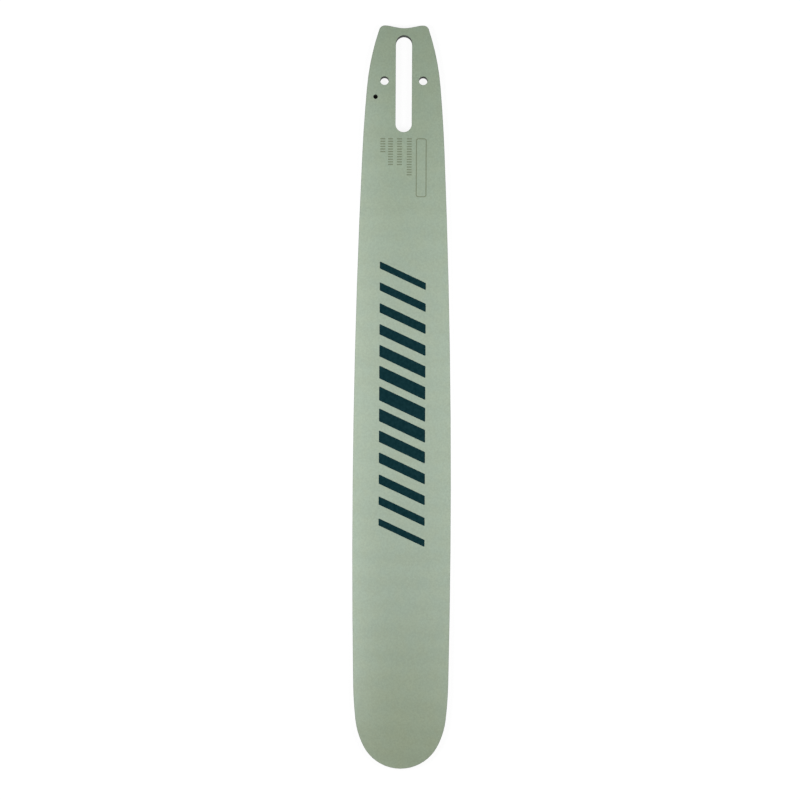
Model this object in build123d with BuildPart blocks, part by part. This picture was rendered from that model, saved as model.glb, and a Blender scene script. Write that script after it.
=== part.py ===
"""Solid-nose chainsaw guide bar, lying flat. Millimetres, +X to the nose, +Z up, underside on z = 0."""

import os

from build123d import *

os.makedirs("parts", exist_ok=True)

# Plate
bar_length = 580.0
belly_width = 76.7
plate_thickness = 4.8
edge_break = 0.35
hole_edge_break = 0.15

# Nose: how far each rail comes in, and how far back each place lies
nose_root_drop = 1.25
cheek_drop = 1.9
tip_drop = 2.7
cheek_setback = 5.5
cheek_length = 28.0
taper_length = 127.0

# Tail: how far each rail comes in, and the distance of each place from the tail end
waist_drop = 6.25
waist_station = 100.0
shoulder_drop = 3.4
shoulder_station = 48.0
tail_drop = 10.4
tail_corner_radius = 4.5
tail_land = 5.2
notch_depth = 2.64
notch_root_radius = 29.0
notch_edge_radius = 10.0

# Chain groove
chain_gauge = 1.6
groove_depth = 8.0

# Stud slot
stud_diameter = 12.0
stud_clearance = 0.7
slot_length = 75.6
slot_to_tail = 7.6

# Tensioner holes
tensioner_pin_diameter = 6.0
tensioner_clearance = 0.7
tensioner_station = 43.1
tensioner_spacing = 30.2

# Oil holes, one in each face, set in from the width at the shoulder
oil_hole_diameter = 3.4
oil_hole_station = 55.7
oil_hole_inset = 6.7

# Half widths, from the widest place out to both ends
belly_half = belly_width / 2
nose_root_half = belly_half - nose_root_drop
cheek_half = nose_root_half - cheek_drop
nose_tip_radius = cheek_half - tip_drop
waist_half = belly_half - waist_drop
shoulder_half = waist_half - shoulder_drop
tail_half = shoulder_half - tail_drop

# Places along the bar, with the middle of its length at x = 0
tail_x = -bar_length / 2
tip_x = bar_length / 2
tip_centre_x = tip_x - nose_tip_radius
cheek_x = tip_centre_x - cheek_setback
nose_root_x = cheek_x - cheek_length
belly_x = nose_root_x - taper_length
slot_x = tail_x + slot_to_tail + slot_length / 2
tensioner_x = tail_x + tensioner_station
oil_hole_x = tail_x + oil_hole_station

# Worked-out sizes
slot_width = stud_diameter + stud_clearance
tensioner_radius = (tensioner_pin_diameter + tensioner_clearance) / 2
oil_hole_radius = oil_hole_diameter / 2
oil_hole_offset = shoulder_half - oil_hole_inset
rail_wall = (plate_thickness - chain_gauge) / 2
oil_hole_depth = rail_wall + chain_gauge
notch_half = tail_half - tail_land
notch_root_limit = notch_half**2 / (2 * notch_depth)
groove_runout = 2 * groove_depth

# Both rails, as arcs that run into one another, with straight runouts behind the tail
with BuildLine() as rails:
    belly_arc = ThreePointArc(
        (tail_x + waist_station, waist_half), (belly_x, belly_half), (nose_root_x, nose_root_half)
    )
    waist_arc = TangentArc(
        belly_arc @ 0, (tail_x + shoulder_station, shoulder_half), tangent=-(belly_arc % 0)
    )
    flank_arc = TangentArc(waist_arc @ 1, (tail_x, tail_half), tangent=waist_arc % 1)
    runout = Line(flank_arc @ 1, flank_arc @ 1 + groove_runout * (flank_arc % 1))
    cheek_arc = TangentArc(belly_arc @ 1, (cheek_x, cheek_half), tangent=belly_arc % 1)
    # The next arc leaves the cheek in line with it, and its radius lets it meet the tip circle in line
    tip_centre = Vector(tip_centre_x, 0)
    cheek_end = cheek_arc @ 1
    inward = (cheek_arc % 1).rotate(Axis.Z, -90)
    reach = cheek_end - tip_centre
    excess = reach.dot(inward) + nose_tip_radius
    round_radius = (nose_tip_radius**2 - reach.dot(reach)) / (2 * excess)
    round_centre = cheek_end + round_radius * inward
    round_end = tip_centre + nose_tip_radius * (tip_centre - round_centre).normalized()
    round_arc = TangentArc(cheek_end, round_end, tangent=cheek_arc % 1)
    TangentArc(round_end, (tip_x, 0), tangent=round_arc % 1)
    mirror(about=Plane.XZ)
    runout_end = runout @ 1
    Line(runout_end, (runout_end.X, -runout_end.Y))

# The plate seen from above: cut off at the tail, with a shallow V notch between rounded corners
with BuildSketch() as plate_outline:
    make_face(rails.edges())
    split(bisect_by=Plane.YZ.offset(tail_x), keep=Keep.TOP)
    with BuildLine():
        Polyline((tail_x, notch_half), (tail_x + notch_depth, 0), (tail_x, -notch_half), close=True)
    make_face(mode=Mode.SUBTRACT)
    notch_root = plate_outline.vertices().sort_by_distance((tail_x + notch_depth, 0))[0]
    fillet(notch_root, radius=min(notch_root_radius, notch_root_limit))
    tail_points = plate_outline.vertices().group_by(Axis.X)[0].sort_by(Axis.Y)
    fillet(tail_points[1:3], radius=notch_edge_radius)
    tail_points = plate_outline.vertices().group_by(Axis.X)[0].sort_by(Axis.Y)
    fillet([tail_points[0], tail_points[-1]], radius=tail_corner_radius)

# The web between the two stretches of groove, running out past the tail
with BuildSketch() as groove_floor:
    make_face(rails.edges())
    offset(amount=-groove_depth, mode=Mode.REPLACE)

# The bar: one plate with the slot and holes through it and the groove milled into its edge
with BuildPart() as guide_bar:
    add(plate_outline.sketch)
    extrude(amount=plate_thickness)
    with BuildSketch() as through_cuts:
        with Locations((slot_x, 0)):
            SlotOverall(slot_length, slot_width)
        with Locations((tensioner_x, tensioner_spacing / 2), (tensioner_x, -tensioner_spacing / 2)):
            Circle(tensioner_radius)
    extrude(amount=plate_thickness, mode=Mode.SUBTRACT)
    upper_oil_hole = Location((oil_hole_x, -oil_hole_offset, plate_thickness))
    lower_oil_hole = Location((oil_hole_x, oil_hole_offset, 0), (180, 0, 0))
    with Locations(upper_oil_hole, lower_oil_hole):
        Hole(oil_hole_radius, depth=oil_hole_depth)
    for face_index in (0, -1):
        chamfer(guide_bar.faces().sort_by(Axis.Z)[face_index].outer_wire().edges(), length=edge_break)
        hole_wires = guide_bar.faces().sort_by(Axis.Z)[face_index].inner_wires()
        chamfer([edge for wire in hole_wires for edge in wire.edges()], length=hole_edge_break)
    with BuildSketch(Plane.XY.offset(rail_wall)) as groove:
        add(plate_outline.sketch)
        add(groove_floor.sketch, mode=Mode.SUBTRACT)
    extrude(amount=chain_gauge, mode=Mode.SUBTRACT)

guide_bar.part.label = "guide_bar"
export_step(guide_bar.part, "parts/guide_bar.step")
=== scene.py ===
# %% [markdown]
# A chainsaw guide bar, lying flat and seen from straight above.
# The real bar is one steel plate. It could be modelled once more here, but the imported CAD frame
# already holds its exact shape, so that shape is loaded and stays as it is.
# Blender adds what CAD doesn't hold: the paint, the bare rails, the print, the laser marks and a studio.
# Lengths are in metres, with +X along the bar to the nose, +Y across it and +Z up.

# %% Load the frame
import math

import bmesh
import bpy
from mathutils import Color, Matrix, Vector


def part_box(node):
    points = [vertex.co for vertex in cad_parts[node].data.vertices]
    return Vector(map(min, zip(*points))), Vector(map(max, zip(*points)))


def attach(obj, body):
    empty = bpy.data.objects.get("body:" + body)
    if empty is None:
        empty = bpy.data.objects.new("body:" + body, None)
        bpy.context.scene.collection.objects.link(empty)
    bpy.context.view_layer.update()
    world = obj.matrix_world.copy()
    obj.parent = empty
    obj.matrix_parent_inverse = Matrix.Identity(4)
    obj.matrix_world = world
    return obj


MM = 0.001

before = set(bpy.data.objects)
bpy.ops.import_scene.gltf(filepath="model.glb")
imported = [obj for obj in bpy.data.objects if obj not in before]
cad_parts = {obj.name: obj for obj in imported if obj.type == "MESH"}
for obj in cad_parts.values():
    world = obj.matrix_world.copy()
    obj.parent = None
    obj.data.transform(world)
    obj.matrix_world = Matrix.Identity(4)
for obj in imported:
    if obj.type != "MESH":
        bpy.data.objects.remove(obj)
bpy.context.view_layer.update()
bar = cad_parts["guide_bar"]
bar_low, bar_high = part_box("guide_bar")
bar_length = bar_high.x - bar_low.x
face_z = bar_high.z
print("bar size in mm:", [round(side / MM, 2) for side in bar_high - bar_low])

# %% [markdown]
# A maker picks a paint from a colour card. Here a colour is written the way a colour picker shows it,
# as sRGB values from 0 to 255, but Cycles works in linear light.
# The values could be typed in already converted, but then nobody could read them,
# so a helper converts them.
# The Standard view transform keeps a colour on screen close to the colour that is written.

# %% Colours
bpy.context.scene.view_settings.view_transform = "Standard"


def srgb(red, green, blue):
    shown = Color((red / 255, green / 255, blue / 255))
    return (*shown.from_srgb_to_scene_linear(), 1.0)


print("a mid grey of 128 is", round(srgb(128, 128, 128)[0], 3), "in linear light")

# %% [markdown]
# A real finish changes a little from place to place, and here each finish is a graph of nodes.
# An image could hold the same colours, but it blurs in close views and has to travel with the file.
# Graphs get long in code, so a small class keeps them readable: each call adds one node,
# sets or links its inputs, and hands back the socket that the next step needs.
# It has short names for the nodes used most: Math, Map Range as a ramp, Mix, and Noise Texture.

# %% Node graphs


class Graph:
    def __init__(self, tree):
        self.tree = tree
        tree.nodes.clear()

    def node(self, kind, inputs=None, **settings):
        made = self.tree.nodes.new(kind)
        for name, value in settings.items():
            setattr(made, name, value)
        for name, value in (inputs or {}).items():
            self.feed(made.inputs[name], value)
        return made

    def feed(self, socket, value):
        if isinstance(value, bpy.types.NodeSocket):
            self.tree.links.new(value, socket)
        else:
            socket.default_value = value

    def math(self, operation, first, second=0.0):
        return self.node("ShaderNodeMath", {0: first, 1: second}, operation=operation).outputs[0]

    def ramp(self, value, start, end, low=0.0, high=1.0, shape="SMOOTHSTEP"):
        limits = {"Value": value, "From Min": start, "From Max": end, "To Min": low, "To Max": high}
        return self.node("ShaderNodeMapRange", limits, interpolation_type=shape).outputs["Result"]

    def mix(self, share, base, over, blend="MIX"):
        made = self.node("ShaderNodeMix", data_type="RGBA", blend_type=blend)
        colours = [socket for socket in made.inputs if socket.type == "RGBA"]
        self.feed(made.inputs["Factor"], share)
        self.feed(colours[0], base)
        self.feed(colours[1], over)
        return next(socket for socket in made.outputs if socket.type == "RGBA")

    def noise(self, place, grain, detail=2.0):
        per_metre = [1 / size for size in grain]
        scaled = self.node("ShaderNodeVectorMath", {0: place, 1: per_metre}, operation="MULTIPLY")
        inputs = {"Vector": scaled.outputs[0], "Scale": 1.0, "Detail": detail}
        return self.node("ShaderNodeTexNoise", inputs).outputs[0]


print("a graph can add maths, ramps, mixes and noises")

# %% [markdown]
# Paint, ink and laser marks all start alike, as a material with one Principled shader.
# Each could be set up in its own cell, but one helper says it once. It hands back the material,
# its graph, and the shader whose sockets the later cells fill.

# %% New finishes


def new_finish(name):
    material = bpy.data.materials.new(name)
    material.use_nodes = True
    graph = Graph(material.node_tree)
    shader = graph.node("ShaderNodeBsdfPrincipled")
    graph.node("ShaderNodeOutputMaterial", {"Surface": shader.outputs[0]})
    return material, graph, shader


print("each finish starts from one Principled shader")

# %% [markdown]
# The paint on the bar changes with the distance from the rails, so its shader has to know
# how wide the bar is at every place. The widths could be stored on the vertices, but the CAD mesh stays
# as it is. Instead a ray shot inwards at each station meets the rail there, and a Float Curve node
# holds what the rays measured. The stations stand closer together at both ends, where the width
# changes fastest. This follows the CAD shape, also after a change of size, and needs no table of numbers.

# %% Half width along the bar
STATIONS = 40
RAIL_Z = 1.0 * MM
END_INSET = 0.4 * MM

widest = bar_high.y


def half_width(share):
    x = bar_low.x + min(max(share * bar_length, END_INSET), bar_length - END_INSET)
    hit, point, _, _ = bar.ray_cast((x, 2 * widest, RAIL_Z), (0, -1, 0))
    return point.y if hit else 0.0


def half_width_curve(graph, share):
    made = graph.node("ShaderNodeFloatCurve", {"Value": share})
    points = made.mapping.curves[0].points
    shares = [(1 - math.cos(math.pi * step / STATIONS)) / 2 for step in range(STATIONS + 1)]
    for place in shares[1:-1]:
        points.new(place, half_width(place) / widest)
    points[0].location = (0.0, half_width(0.0) / widest)
    points[len(points) - 1].location = (1.0, half_width(1.0) / widest)
    for point in points:
        point.handle_type = "VECTOR"
    made.mapping.update()
    return graph.math("MULTIPLY", made.outputs[0], widest)


print("half widths in mm:", [round(half_width(tenth / 10) / MM, 1) for tenth in range(11)])

# %% [markdown]
# The plate carries three finishes: paint on both faces, bare ground steel on the rails that the chain
# runs on, and dark scale where no wheel grinds, in the groove, slot and holes and on the tail end.
# The scale is near black partly as painted shade, for the shaded walls inside the slot and holes.
# They could be three materials on three sets of faces, but the CAD mesh isn't touched here.
# One material with masks does the same. The masks come from where a point lies and which way it faces:
# the normal's Z, without its sign, is 1 on a face, about 0.7 on a broken edge and 0 on an upright wall.

# %% Masks on the plate
FLAT_FACE = 0.95
BROKEN_EDGE = (0.85, 0.6)
UPRIGHT = 0.4
GROOVE_HALF = 0.82 * MM
GROOVE_BLUR = 0.02 * MM
INNER_WALL = 2.0 * MM
HOLES_END = -200 * MM

bar_paint, paint, paint_shader = new_finish("bar_paint")
plate = paint.node("ShaderNodeTexCoord")
plate_place = plate.outputs["Object"]
x, y, z = paint.node("ShaderNodeSeparateXYZ", {0: plate_place}).outputs
facing = paint.node("ShaderNodeSeparateXYZ", {0: plate.outputs["Normal"]})
along = paint.math("DIVIDE", paint.math("SUBTRACT", x, bar_low.x), bar_length)
from_rail = paint.math("SUBTRACT", half_width_curve(paint, along), paint.math("ABSOLUTE", y))
level = paint.math("ABSOLUTE", facing.outputs[2])
steep = paint.ramp(level, BROKEN_EDGE[1], UPRIGHT)
on_edge = paint.ramp(level, FLAT_FACE, BROKEN_EDGE[0])
from_middle = paint.math("ABSOLUTE", paint.math("SUBTRACT", z, face_z / 2))
in_groove = paint.ramp(from_middle, GROOVE_HALF + GROOVE_BLUR, GROOVE_HALF - GROOVE_BLUR)
off_rail = paint.math("MULTIPLY", steep, paint.ramp(from_rail, INNER_WALL / 2, INNER_WALL))
inner_wall = paint.math("MULTIPLY", off_rail, paint.math("LESS_THAN", x, HOLES_END))
# scaled marks the dark scale, which also carries painted shade on the slot and hole walls.
scaled = paint.math("MAXIMUM", in_groove, inner_wall)
print("masks: broken edges, steep walls, groove and inner walls")

# %% [markdown]
# The paint is a satin sage green-grey, sprayed thin over a plate that was ground across its width.
# The coat is greener towards the tail, more olive towards the nose, and thin on the broken edges,
# where the dark plate shows through. A painted highlight makes it paler towards the rails, strongest
# along the left rail, on the side of the stronger lamp, and weaker towards both ends.
# One colour with a noise over it would be quicker, but it couldn't follow the shape.
# So these slow changes are mixed first, as colours, each by a ramp that says how much of it shows.

# %% Paint colour
PAINT_SAGE = srgb(160, 175, 157)
PAINT_RIM_HIGHLIGHT = srgb(178, 193, 174)
PAINT_TAIL = srgb(158, 175, 151)
PAINT_NOSE = srgb(158, 171, 145)
PAINT_THIN = srgb(132, 144, 127)
TAIL_REACH = (-40 * MM, -270 * MM)
NOSE_REACH = (140 * MM, 290 * MM)
END_SHARE = 0.9
RIM_REACH = 36 * MM
RIM_POWER = 2.0
FAINT_RIM = 0.32
RIM_FADE = (220 * MM, 285 * MM)
RIM_AT_ENDS = 0.2
RIM_GROWTH = (50 * MM, 200 * MM)
RIM_BEFORE_GROWTH = 0.6

paint_colour = paint.mix(paint.ramp(x, *TAIL_REACH, high=END_SHARE), PAINT_SAGE, PAINT_TAIL)
paint_colour = paint.mix(paint.ramp(x, *NOSE_REACH, high=END_SHARE), paint_colour, PAINT_NOSE)
# Painted highlight along the rails: strongest on the left, where the stronger lamp stands, and weaker
# towards the ends.
lamp_side = paint.ramp(y, -RIM_REACH / 2, RIM_REACH / 2, low=1.0, high=FAINT_RIM)
rim_near = paint.math("POWER", paint.ramp(from_rail, RIM_REACH, 0.0, shape="LINEAR"), RIM_POWER)
rim_ends = paint.ramp(paint.math("ABSOLUTE", x), *RIM_FADE, low=1.0, high=RIM_AT_ENDS)
rim_along = paint.math("MULTIPLY", rim_ends, paint.ramp(x, *RIM_GROWTH, low=RIM_BEFORE_GROWTH))
rim_highlight = paint.math("MULTIPLY", rim_near, paint.math("MULTIPLY", lamp_side, rim_along))
paint_colour = paint.mix(rim_highlight, paint_colour, PAINT_RIM_HIGHLIGHT)
paint_colour = paint.mix(on_edge, paint_colour, PAINT_THIN)
print("slow colours mixed: tail, nose, rim and edges")

# %% [markdown]
# A grain then goes over the whole coat. The passes of the grinding wheel under it show as faint even
# ripples, the spray leaves a fine grain, and the hue drifts between a warmer and a cooler green.
# The ripples could be modelled, but they are far too shallow to show as a shape.
# A sine along the bar gives them once a noise has bent it a little, and two more noises give the rest.
# Each is a tint near white that multiplies the colour, so its contrast is the same all over the plate.

# %% Paint grain
GRAIN_DEEP = (0.93, 0.93, 0.93, 1.0)
GRAIN_PALE = (1.07, 1.07, 1.07, 1.0)
DRIFT_WARM = (1.009, 1.0, 0.987, 1.0)
DRIFT_COOL = (0.991, 1.0, 1.013, 1.0)
BAND_GRAIN = (19 * MM, 60 * MM, 60 * MM)
SPRAY_GRAIN = (1.3 * MM, 1.3 * MM, 1.3 * MM)
DRIFT_GRAIN = (9 * MM, 9 * MM, 9 * MM)
FINE_DETAIL = 3.0
RIPPLE_PITCH = 19.4 * MM
RIPPLE_BEND = 4.0
RIPPLE_WEIGHT = 0.02
BAND_WEIGHT = 0.14
SPRAY_WEIGHT = 0.6
TONE_RANGE = (0.19, 0.55)
DRIFT_RANGE = (0.35, 0.65)

bands = paint.noise(plate_place, BAND_GRAIN)
spray = paint.noise(plate_place, SPRAY_GRAIN, detail=FINE_DETAIL)
drift = paint.noise(plate_place, DRIFT_GRAIN)
passes = paint.math("MULTIPLY", x, 2 * math.pi / RIPPLE_PITCH)
ripple = paint.math("SINE", paint.math("ADD", passes, paint.math("MULTIPLY", bands, RIPPLE_BEND)))
tone = paint.math("MULTIPLY", bands, BAND_WEIGHT)
tone = paint.math("ADD", tone, paint.math("MULTIPLY", spray, SPRAY_WEIGHT))
tone = paint.math("ADD", tone, paint.math("MULTIPLY", ripple, RIPPLE_WEIGHT))
grain_tint = paint.mix(paint.ramp(tone, *TONE_RANGE), GRAIN_DEEP, GRAIN_PALE)
drift_tint = paint.mix(paint.ramp(drift, *DRIFT_RANGE), DRIFT_WARM, DRIFT_COOL)
paint_colour = paint.mix(1.0, paint_colour, grain_tint, blend="MULTIPLY")
paint_colour = paint.mix(1.0, paint_colour, drift_tint, blend="MULTIPLY")
print("ripples, spray grain and drift laid over them")

# %% [markdown]
# The rails are ground along their length after the painting, so they are bare steel
# with fine long scratches. The scale on the other walls is dull, and its near-black colour is partly
# painted shade, standing in for the shade on the walls inside the slot and holes.
# Scratches could be modelled one by one, but there are thousands and each is finer than a hair.
# A noise that is stretched along the rail and squeezed over its height gives them all at once.

# %% Bare rails and dark walls
STEEL_DULL = srgb(138, 141, 143)
STEEL_BRIGHT = srgb(182, 184, 184)
# Near black partly as painted shade for the shaded walls in the slot and holes.
SCALE_AND_SHADE_DARK = srgb(48, 52, 48)
SCALE_AND_SHADE_LIGHT = srgb(66, 70, 64)
SCRATCH_GRAIN = (14 * MM, 14 * MM, 0.16 * MM)
SCALE_GRAIN = (0.9 * MM, 0.9 * MM, 0.9 * MM)
NOISE_RANGE = (0.3, 0.7)

scratches = paint.noise(plate_place, SCRATCH_GRAIN, detail=FINE_DETAIL)
mottle = paint.noise(plate_place, SCALE_GRAIN)
steel_colour = paint.mix(paint.ramp(scratches, *NOISE_RANGE), STEEL_DULL, STEEL_BRIGHT)
scale_and_shade_colour = paint.mix(paint.ramp(mottle, *NOISE_RANGE), SCALE_AND_SHADE_DARK, SCALE_AND_SHADE_LIGHT)
bare = paint.math("MULTIPLY", steep, paint.math("SUBTRACT", 1.0, scaled))
plate_colour = paint.mix(scaled, paint.mix(bare, paint_colour, steel_colour), scale_and_shade_colour)
print("rails bare, walls dark")

# %% [markdown]
# Gloss and relief finish the plate: the paint is satin, the ground steel shinier and the scale dull.
# One roughness for each would do from afar, but up close real gloss breaks up where the surface does.
# So the noises that coloured the plate also drive its roughness and a bump of a few micrometres,
# and gloss and colour agree.

# %% Gloss and relief of the plate
PAINT_ROUGH = (0.40, 0.50)
STEEL_ROUGH = (0.26, 0.42)
SCALE_ROUGH = 0.75
RELIEF = 0.004 * MM

paint_rough = paint.ramp(spray, *NOISE_RANGE, *PAINT_ROUGH)
steel_rough = paint.ramp(scratches, *NOISE_RANGE, *STEEL_ROUGH)
bare_rough = paint.math("MULTIPLY", bare, paint.math("SUBTRACT", steel_rough, paint_rough))
scale_rough = paint.math("MULTIPLY", scaled, paint.math("SUBTRACT", SCALE_ROUGH, paint_rough))
rough = paint.math("ADD", paint_rough, paint.math("ADD", bare_rough, scale_rough))
relief = paint.mix(bare, spray, scratches)
bump = paint.node("ShaderNodeBump", {"Height": relief, "Distance": RELIEF, "Strength": 1.0})
paint.feed(paint_shader.inputs["Base Color"], plate_colour)
paint.feed(paint_shader.inputs["Metallic"], bare)
paint.feed(paint_shader.inputs["Roughness"], rough)
paint.feed(paint_shader.inputs["Normal"], bump.outputs[0])
bar.data.materials.clear()
bar.data.materials.append(bar_paint)
print("guide_bar has", len(bar.data.materials), "material")

# %% [markdown]
# Ink and laser marks lie on the face as films far thinner than a hair.
# They could be painted into the paint's own graph, but as thin closed islands they stay sharp
# in close views and keep their shape as meshes of their own.
# A real print has no knife-sharp corners, so each island gets an outline with a small arc at each corner.

# %% Rounded outlines
ARC_STEPS = 6


def rounded(corners, radius):
    outline = []
    for index, corner in enumerate(corners):
        back = (corners[index - 1] - corner).normalized()
        ahead = (corners[(index + 1) % len(corners)] - corner).normalized()
        half_angle = back.angle(ahead) / 2
        centre = corner + (back + ahead).normalized() * (radius / math.sin(half_angle))
        start = corner + back * (radius / math.tan(half_angle)) - centre
        end = corner + ahead * (radius / math.tan(half_angle)) - centre
        turn = start.angle_signed(end)
        for step in range(ARC_STEPS + 1):
            outline.append(centre + Matrix.Rotation(-turn * step / ARC_STEPS, 2) @ start)
    return outline


print("each rounded corner has", ARC_STEPS + 1, "points")

# %% [markdown]
# A film starts just under the face and ends just over it, so it lies on the paint, seen from any side.
# A single sheet at the face's own height would be simpler, but it would flicker against the paint.
# An island is its outline at two heights with a wall between them. A ring is an outer
# and an inner outline, joined all round. Both are closed, so that the mesh is a solid.

# %% Thin films


def loop_at(mesh, outline, height):
    return [mesh.verts.new((*point, height)) for point in outline]


def join_loops(mesh, first, second):
    for index in range(len(first)):
        mesh.faces.new((first[index - 1], first[index], second[index], second[index - 1]))


def add_island(mesh, outline, sunk, proud):
    under = loop_at(mesh, outline, sunk)
    over = loop_at(mesh, outline, proud)
    mesh.faces.new(under)
    mesh.faces.new(over)
    join_loops(mesh, under, over)


def add_ring(mesh, outer, inner, sunk, proud):
    places = ((outer, sunk), (outer, proud), (inner, proud), (inner, sunk))
    loops = [loop_at(mesh, outline, height) for outline, height in places]
    for index in range(len(loops)):
        join_loops(mesh, loops[index - 1], loops[index])


def film(name, mesh, material):
    bmesh.ops.recalc_face_normals(mesh, faces=mesh.faces)
    data = bpy.data.meshes.new(name)
    mesh.to_mesh(data)
    mesh.free()
    data.materials.append(material)
    piece = bpy.data.objects.new(name, data)
    bpy.context.scene.collection.objects.link(piece)
    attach(piece, "root")
    return piece


print("films are made of islands and rings")

# %% [markdown]
# A dark print runs along the middle of the bar: a band of slanted stripes that thin out to both ends.
# Each stripe could be drawn by hand, but they share one pitch, so a loop lays them out from the middle
# and only the widths of the middle stripe and of the end stripes have to be chosen.

# %% Stripe layout
BAND_CENTRE = 5.5 * MM
BAND_HALF = 18.0 * MM
STRIPES_A_SIDE = 6
STRIPE_PITCH = 16.7 * MM
MIDDLE_STRIPE = 11.0 * MM
END_STRIPE = 5.6 * MM
STRIPE_SLANT = math.tan(math.radians(25))
STRIPE_CORNER = 0.5 * MM


def stripe(index):
    width = MIDDLE_STRIPE + (END_STRIPE - MIDDLE_STRIPE) * abs(index) / STRIPES_A_SIDE
    corners = []
    for across, side in ((-BAND_HALF, -1), (-BAND_HALF, 1), (BAND_HALF, 1), (BAND_HALF, -1)):
        slid = BAND_CENTRE + index * STRIPE_PITCH + across * STRIPE_SLANT
        corners.append(Vector((slid + side * width / 2, across)))
    return rounded(corners, STRIPE_CORNER)


stripes = [stripe(index) for index in range(-STRIPES_A_SIDE, STRIPES_A_SIDE + 1)]
print(len(stripes), "stripes")

# %% [markdown]
# The ink is a satin dark teal that mirrors little, and a trace of the spray grain shows through it.
# One flat dark colour would look like a hole in the paint. So a noise mixes two close teals
# and breaks up the gloss, and a low specular level keeps the ink dark where the room is bright.

# %% Print ink
INK_DEEP = srgb(8, 41, 46)
INK_PALE = srgb(14, 49, 54)
INK_GRAIN = (2.2 * MM, 2.2 * MM, 2.2 * MM)
INK_ROUGH = (0.28, 0.36)
INK_SPECULAR = 0.2

print_ink, ink, ink_shader = new_finish("print_ink")
ink_place = ink.node("ShaderNodeTexCoord").outputs["Object"]
ink_grain = ink.noise(ink_place, INK_GRAIN, detail=FINE_DETAIL)
ink_colour = ink.mix(ink.ramp(ink_grain, *NOISE_RANGE), INK_DEEP, INK_PALE)
ink_bump = ink.node("ShaderNodeBump", {"Height": ink_grain, "Distance": RELIEF, "Strength": 1.0})
ink.feed(ink_shader.inputs["Base Color"], ink_colour)
ink.feed(ink_shader.inputs["Roughness"], ink.ramp(ink_grain, *NOISE_RANGE, *INK_ROUGH))
ink.feed(ink_shader.inputs["Normal"], ink_bump.outputs[0])
ink.feed(ink_shader.inputs["Specular IOR Level"], INK_SPECULAR)
print("print_ink has", len(ink.tree.nodes), "nodes")

# %% [markdown]
# On a real bar the whole print is laid down in one go, through one screen.
# Each stripe could be an object of its own, but then one print would be many pieces to look after.
# So the stripes are islands of one mesh, sunk a little into the face,
# and they stand proud of it by about as much as a thick coat of ink.

# %% Printed stripes
INK_SUNK = 0.02 * MM
INK_PROUD = 0.03 * MM

ink_mesh = bmesh.new()
for outline in stripes:
    add_island(ink_mesh, outline, face_z - INK_SUNK, face_z + INK_PROUD)
printed = film("printed_stripes", ink_mesh, print_ink)
print("printed_stripes has", len(printed.data.polygons), "faces")

# %% [markdown]
# Between the slot and the print, a laser has marked the coat: four rows of ticks, like short rulers,
# and one empty outlined field. They run along the bar and all start at one line.
# Each mark could be placed by its own numbers, but all are rectangles on a pitch,
# so one helper gives the corners and a loop repeats the ticks.

# %% Mark layout
MARK_START = -202 * MM
TICK_WIDTH = 1.0 * MM
TICK_PITCH = 2.0 * MM
TICK_HEIGHT = 3.9 * MM
TICK_CORNER = 0.3 * MM
TICK_ROWS = ((-16.1 * MM, 6), (-10.1 * MM, 11), (-3.1 * MM, 11), (4.5 * MM, 15))
FIELD_CENTRE = 13.9 * MM
FIELD_SIZE = (46 * MM, 8.4 * MM)
FIELD_CORNER = 2.0 * MM
FIELD_STROKE = 0.8 * MM


def rectangle(start, length, centre, height, inset=0.0):
    left, right = start + inset, start + length - inset
    low, high = centre - height / 2 + inset, centre + height / 2 - inset
    return [Vector(corner) for corner in ((left, low), (right, low), (right, high), (left, high))]


ticks = [
    rounded(rectangle(MARK_START + index * TICK_PITCH, TICK_WIDTH, row, TICK_HEIGHT), TICK_CORNER)
    for row, count in TICK_ROWS
    for index in range(count)
]
field = (MARK_START, FIELD_SIZE[0], FIELD_CENTRE, FIELD_SIZE[1])
field_outer = rounded(rectangle(*field), FIELD_CORNER)
field_inner = rounded(rectangle(*field, inset=FIELD_STROKE), FIELD_CORNER - FIELD_STROKE)
print(len(ticks), "ticks and one field")

# %% [markdown]
# The laser burns the coat in spots about half a millimetre wide. The burnt coat is duller and rougher
# than the paint round it, and olive-grey in a low contrast.
# The paint's graph could darken it with one more mask, but a finish of its own is easier to match.
# Its noise is as fine as the laser's spots.

# %% Laser-marked finish
MARK_DEEP = srgb(120, 130, 106)
MARK_PALE = srgb(136, 147, 124)
MARK_GRAIN = (0.5 * MM, 0.5 * MM, 0.5 * MM)
MARK_ROUGH = (0.6, 0.75)

etched_mark, mark, mark_shader = new_finish("etched_mark")
mark_place = mark.node("ShaderNodeTexCoord").outputs["Object"]
mark_grain = mark.noise(mark_place, MARK_GRAIN, detail=FINE_DETAIL)
mark_colour = mark.mix(mark.ramp(mark_grain, *NOISE_RANGE), MARK_DEEP, MARK_PALE)
mark.feed(mark_shader.inputs["Base Color"], mark_colour)
mark.feed(mark_shader.inputs["Roughness"], mark.ramp(mark_grain, *NOISE_RANGE, *MARK_ROUGH))
print("etched_mark has", len(mark.tree.nodes), "nodes")

# %% [markdown]
# A laser mark changes the coat by only a few micrometres. It could be cut into the plate,
# but the CAD mesh stays as it is, so the marks are a film too, half as proud as the ink.
# The ticks are islands and the field's outline is a ring, and together they are one piece.

# %% Laser marks
MARK_SUNK = 0.02 * MM
MARK_PROUD = 0.015 * MM

mark_mesh = bmesh.new()
for outline in ticks:
    add_island(mark_mesh, outline, face_z - MARK_SUNK, face_z + MARK_PROUD)
add_ring(mark_mesh, field_outer, field_inner, face_z - MARK_SUNK, face_z + MARK_PROUD)
marked = film("laser_marks", mark_mesh, etched_mark)
print("laser_marks has", len(marked.data.polygons), "faces")

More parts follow.
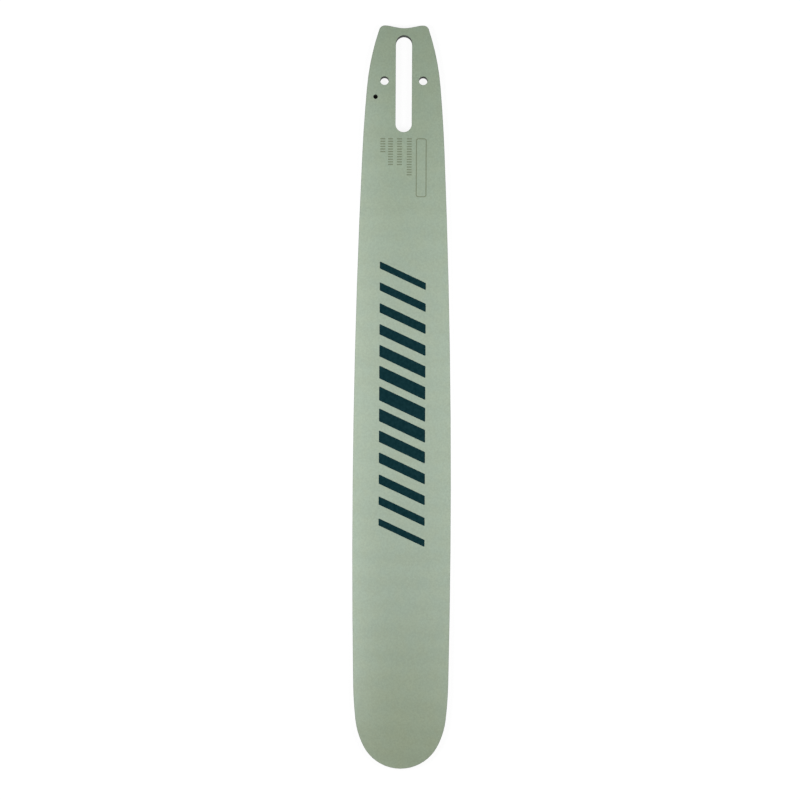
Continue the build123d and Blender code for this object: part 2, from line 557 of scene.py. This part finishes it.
# %% [markdown]
# The bar lies on a plain white sheet. Stronger lamps would turn the sheet white, but they would bleach
# the bar too. So rays from the camera, and mirror rays, see the sheet lit up to white,
# and a share of plain diffuse white keeps the bar's soft shadow on it. Further out the lamps
# reach it less, so there it glows a little more and runs into the white behind it
# without a visible edge.
# All other rays see an ordinary pale floor, so it lights the bar no more than a real one would.

# %% Floor
FLOOR_SIZE = 6.0
FLOOR_GAP = 0.2 * MM
FLOOR_GLOW = (0.90, 1.0)
GLOW_REACH = (0.15, 0.9)
FLOOR_SHADE = (0.16, 0.16, 0.16, 1.0)
FLOOR_PALE = (0.8, 0.8, 0.8, 1.0)


def seen_ray(graph):
    path = graph.node("ShaderNodeLightPath").outputs
    seen = graph.math("MAXIMUM", path["Is Camera Ray"], path["Is Glossy Ray"])
    return graph.math("MAXIMUM", seen, path["Is Transmission Ray"])


floor_white = bpy.data.materials.new("floor_white")
floor_white.use_nodes = True
sheet = Graph(floor_white.node_tree)
shade = sheet.node("ShaderNodeBsdfDiffuse", {"Color": FLOOR_SHADE}).outputs[0]
floor_place = sheet.node("ShaderNodeTexCoord").outputs["Object"]
away = sheet.node("ShaderNodeVectorMath", {0: floor_place}, operation="LENGTH").outputs["Value"]
glow_level = sheet.ramp(away, *GLOW_REACH, *FLOOR_GLOW)
glow = sheet.node("ShaderNodeEmission", {"Strength": glow_level}).outputs[0]
lit = sheet.node("ShaderNodeAddShader", {0: shade, 1: glow}).outputs[0]
pale = sheet.node("ShaderNodeBsdfDiffuse", {"Color": FLOOR_PALE}).outputs[0]
chosen = sheet.node("ShaderNodeMixShader", {0: seen_ray(sheet), 1: pale, 2: lit}).outputs[0]
sheet.node("ShaderNodeOutputMaterial", {"Surface": chosen})

bpy.ops.mesh.primitive_plane_add(size=FLOOR_SIZE, location=(0, 0, -FLOOR_GAP))
floor = bpy.context.object
floor.name = "floor"
floor.data.materials.append(floor_white)
print("floor", FLOOR_SIZE, "m wide")

# %% [markdown]
# Round the sheet is a white room with a dim ceiling. Rays from the camera see white everywhere,
# and mirror rays see the same white at the horizon. A plain white world would be simpler, but the dark
# print would mirror a white ceiling and turn grey, so higher up the room gets dark, as in a studio.

# %% World
CEILING = 0.04
WALL_LIGHT = 0.9
WALL_TOP = 0.55
ROOM_WHITE = (1.0, 1.0, 1.0, 1.0)

world = bpy.data.worlds.new("studio")
bpy.context.scene.world = world
world.use_nodes = True
room = Graph(world.node_tree)
room_place = room.node("ShaderNodeTexCoord").outputs["Generated"]
height = room.node("ShaderNodeSeparateXYZ", {0: room_place}).outputs[2]
wall_light = room.math("MAXIMUM", seen_ray(room), WALL_LIGHT)
room_light = room.ramp(height, 0.0, WALL_TOP, wall_light, CEILING)
camera_ray = room.node("ShaderNodeLightPath").outputs["Is Camera Ray"]
strength = room.math("MAXIMUM", room_light, camera_ray)
background = room.node("ShaderNodeBackground", {"Color": ROOM_WHITE, "Strength": strength})
room.node("ShaderNodeOutputWorld", {"Surface": background.outputs[0]})
print("white walls, dim ceiling")

# %% [markdown]
# Two softboxes light the bar from the left and from the right, as in a small photo studio.
# One lamp overhead would be simpler, but the camera would see its mirror image in the satin paint.
# These two stand too low for that. They hang over the middle of the bar's length, so the light
# falls off softly towards both ends. The left one is a little stronger, and together
# they light a white sheet to about plain white.

# %% Softboxes
BOX_TILT = math.radians(50)
BOX_DISTANCE = 0.60
BOX_SIZE = 0.30
BOX_ALONG = 4 * MM
BOX_POWERS = (("left", -1, 2.99), ("right", 1, 2.61))

for side, sign, power in BOX_POWERS:
    lamp = bpy.data.lights.new(f"softbox_{side}", "AREA")
    lamp.shape = "SQUARE"
    lamp.size = BOX_SIZE
    lamp.energy = power
    softbox = bpy.data.objects.new(lamp.name, lamp)
    towards = Vector((0, sign * math.sin(BOX_TILT), math.cos(BOX_TILT)))
    softbox.location = Vector((BOX_ALONG, 0, face_z)) + towards * BOX_DISTANCE
    softbox.rotation_euler = towards.to_track_quat("Z", "Y").to_euler()
    softbox.visible_camera = False
    bpy.context.scene.collection.objects.link(softbox)
    print(softbox.name, power, "W")

# %% [markdown]
# The camera hangs straight over the bar with its tail at the top of the picture.
# An orthographic camera would be simpler to aim, but it shows no depth. A normal lens at this height
# shows a sliver of wall inside the slot and the holes, as a real photograph does.
# The picture is square, so the height follows from the width that it has to show.

# %% Camera
LENS = 45.0
SENSOR = 36.0
PICTURE_WIDTH = 624.1 * MM
PICTURE_CENTRE = (2.25 * MM, -1.7 * MM)
TAIL_UP = math.radians(90)
LEAN = math.radians(0.30)

lens = bpy.data.cameras.new("camera")
lens.lens = LENS
lens.sensor_width = SENSOR
camera = bpy.data.objects.new("camera", lens)
camera.location = (*PICTURE_CENTRE, face_z + PICTURE_WIDTH * LENS / SENSOR)
camera.rotation_euler = (0, 0, TAIL_UP + LEAN)
bpy.context.scene.collection.objects.link(camera)
bpy.context.scene.camera = camera
print("camera", round(camera.location.z, 3), "m over the floor")
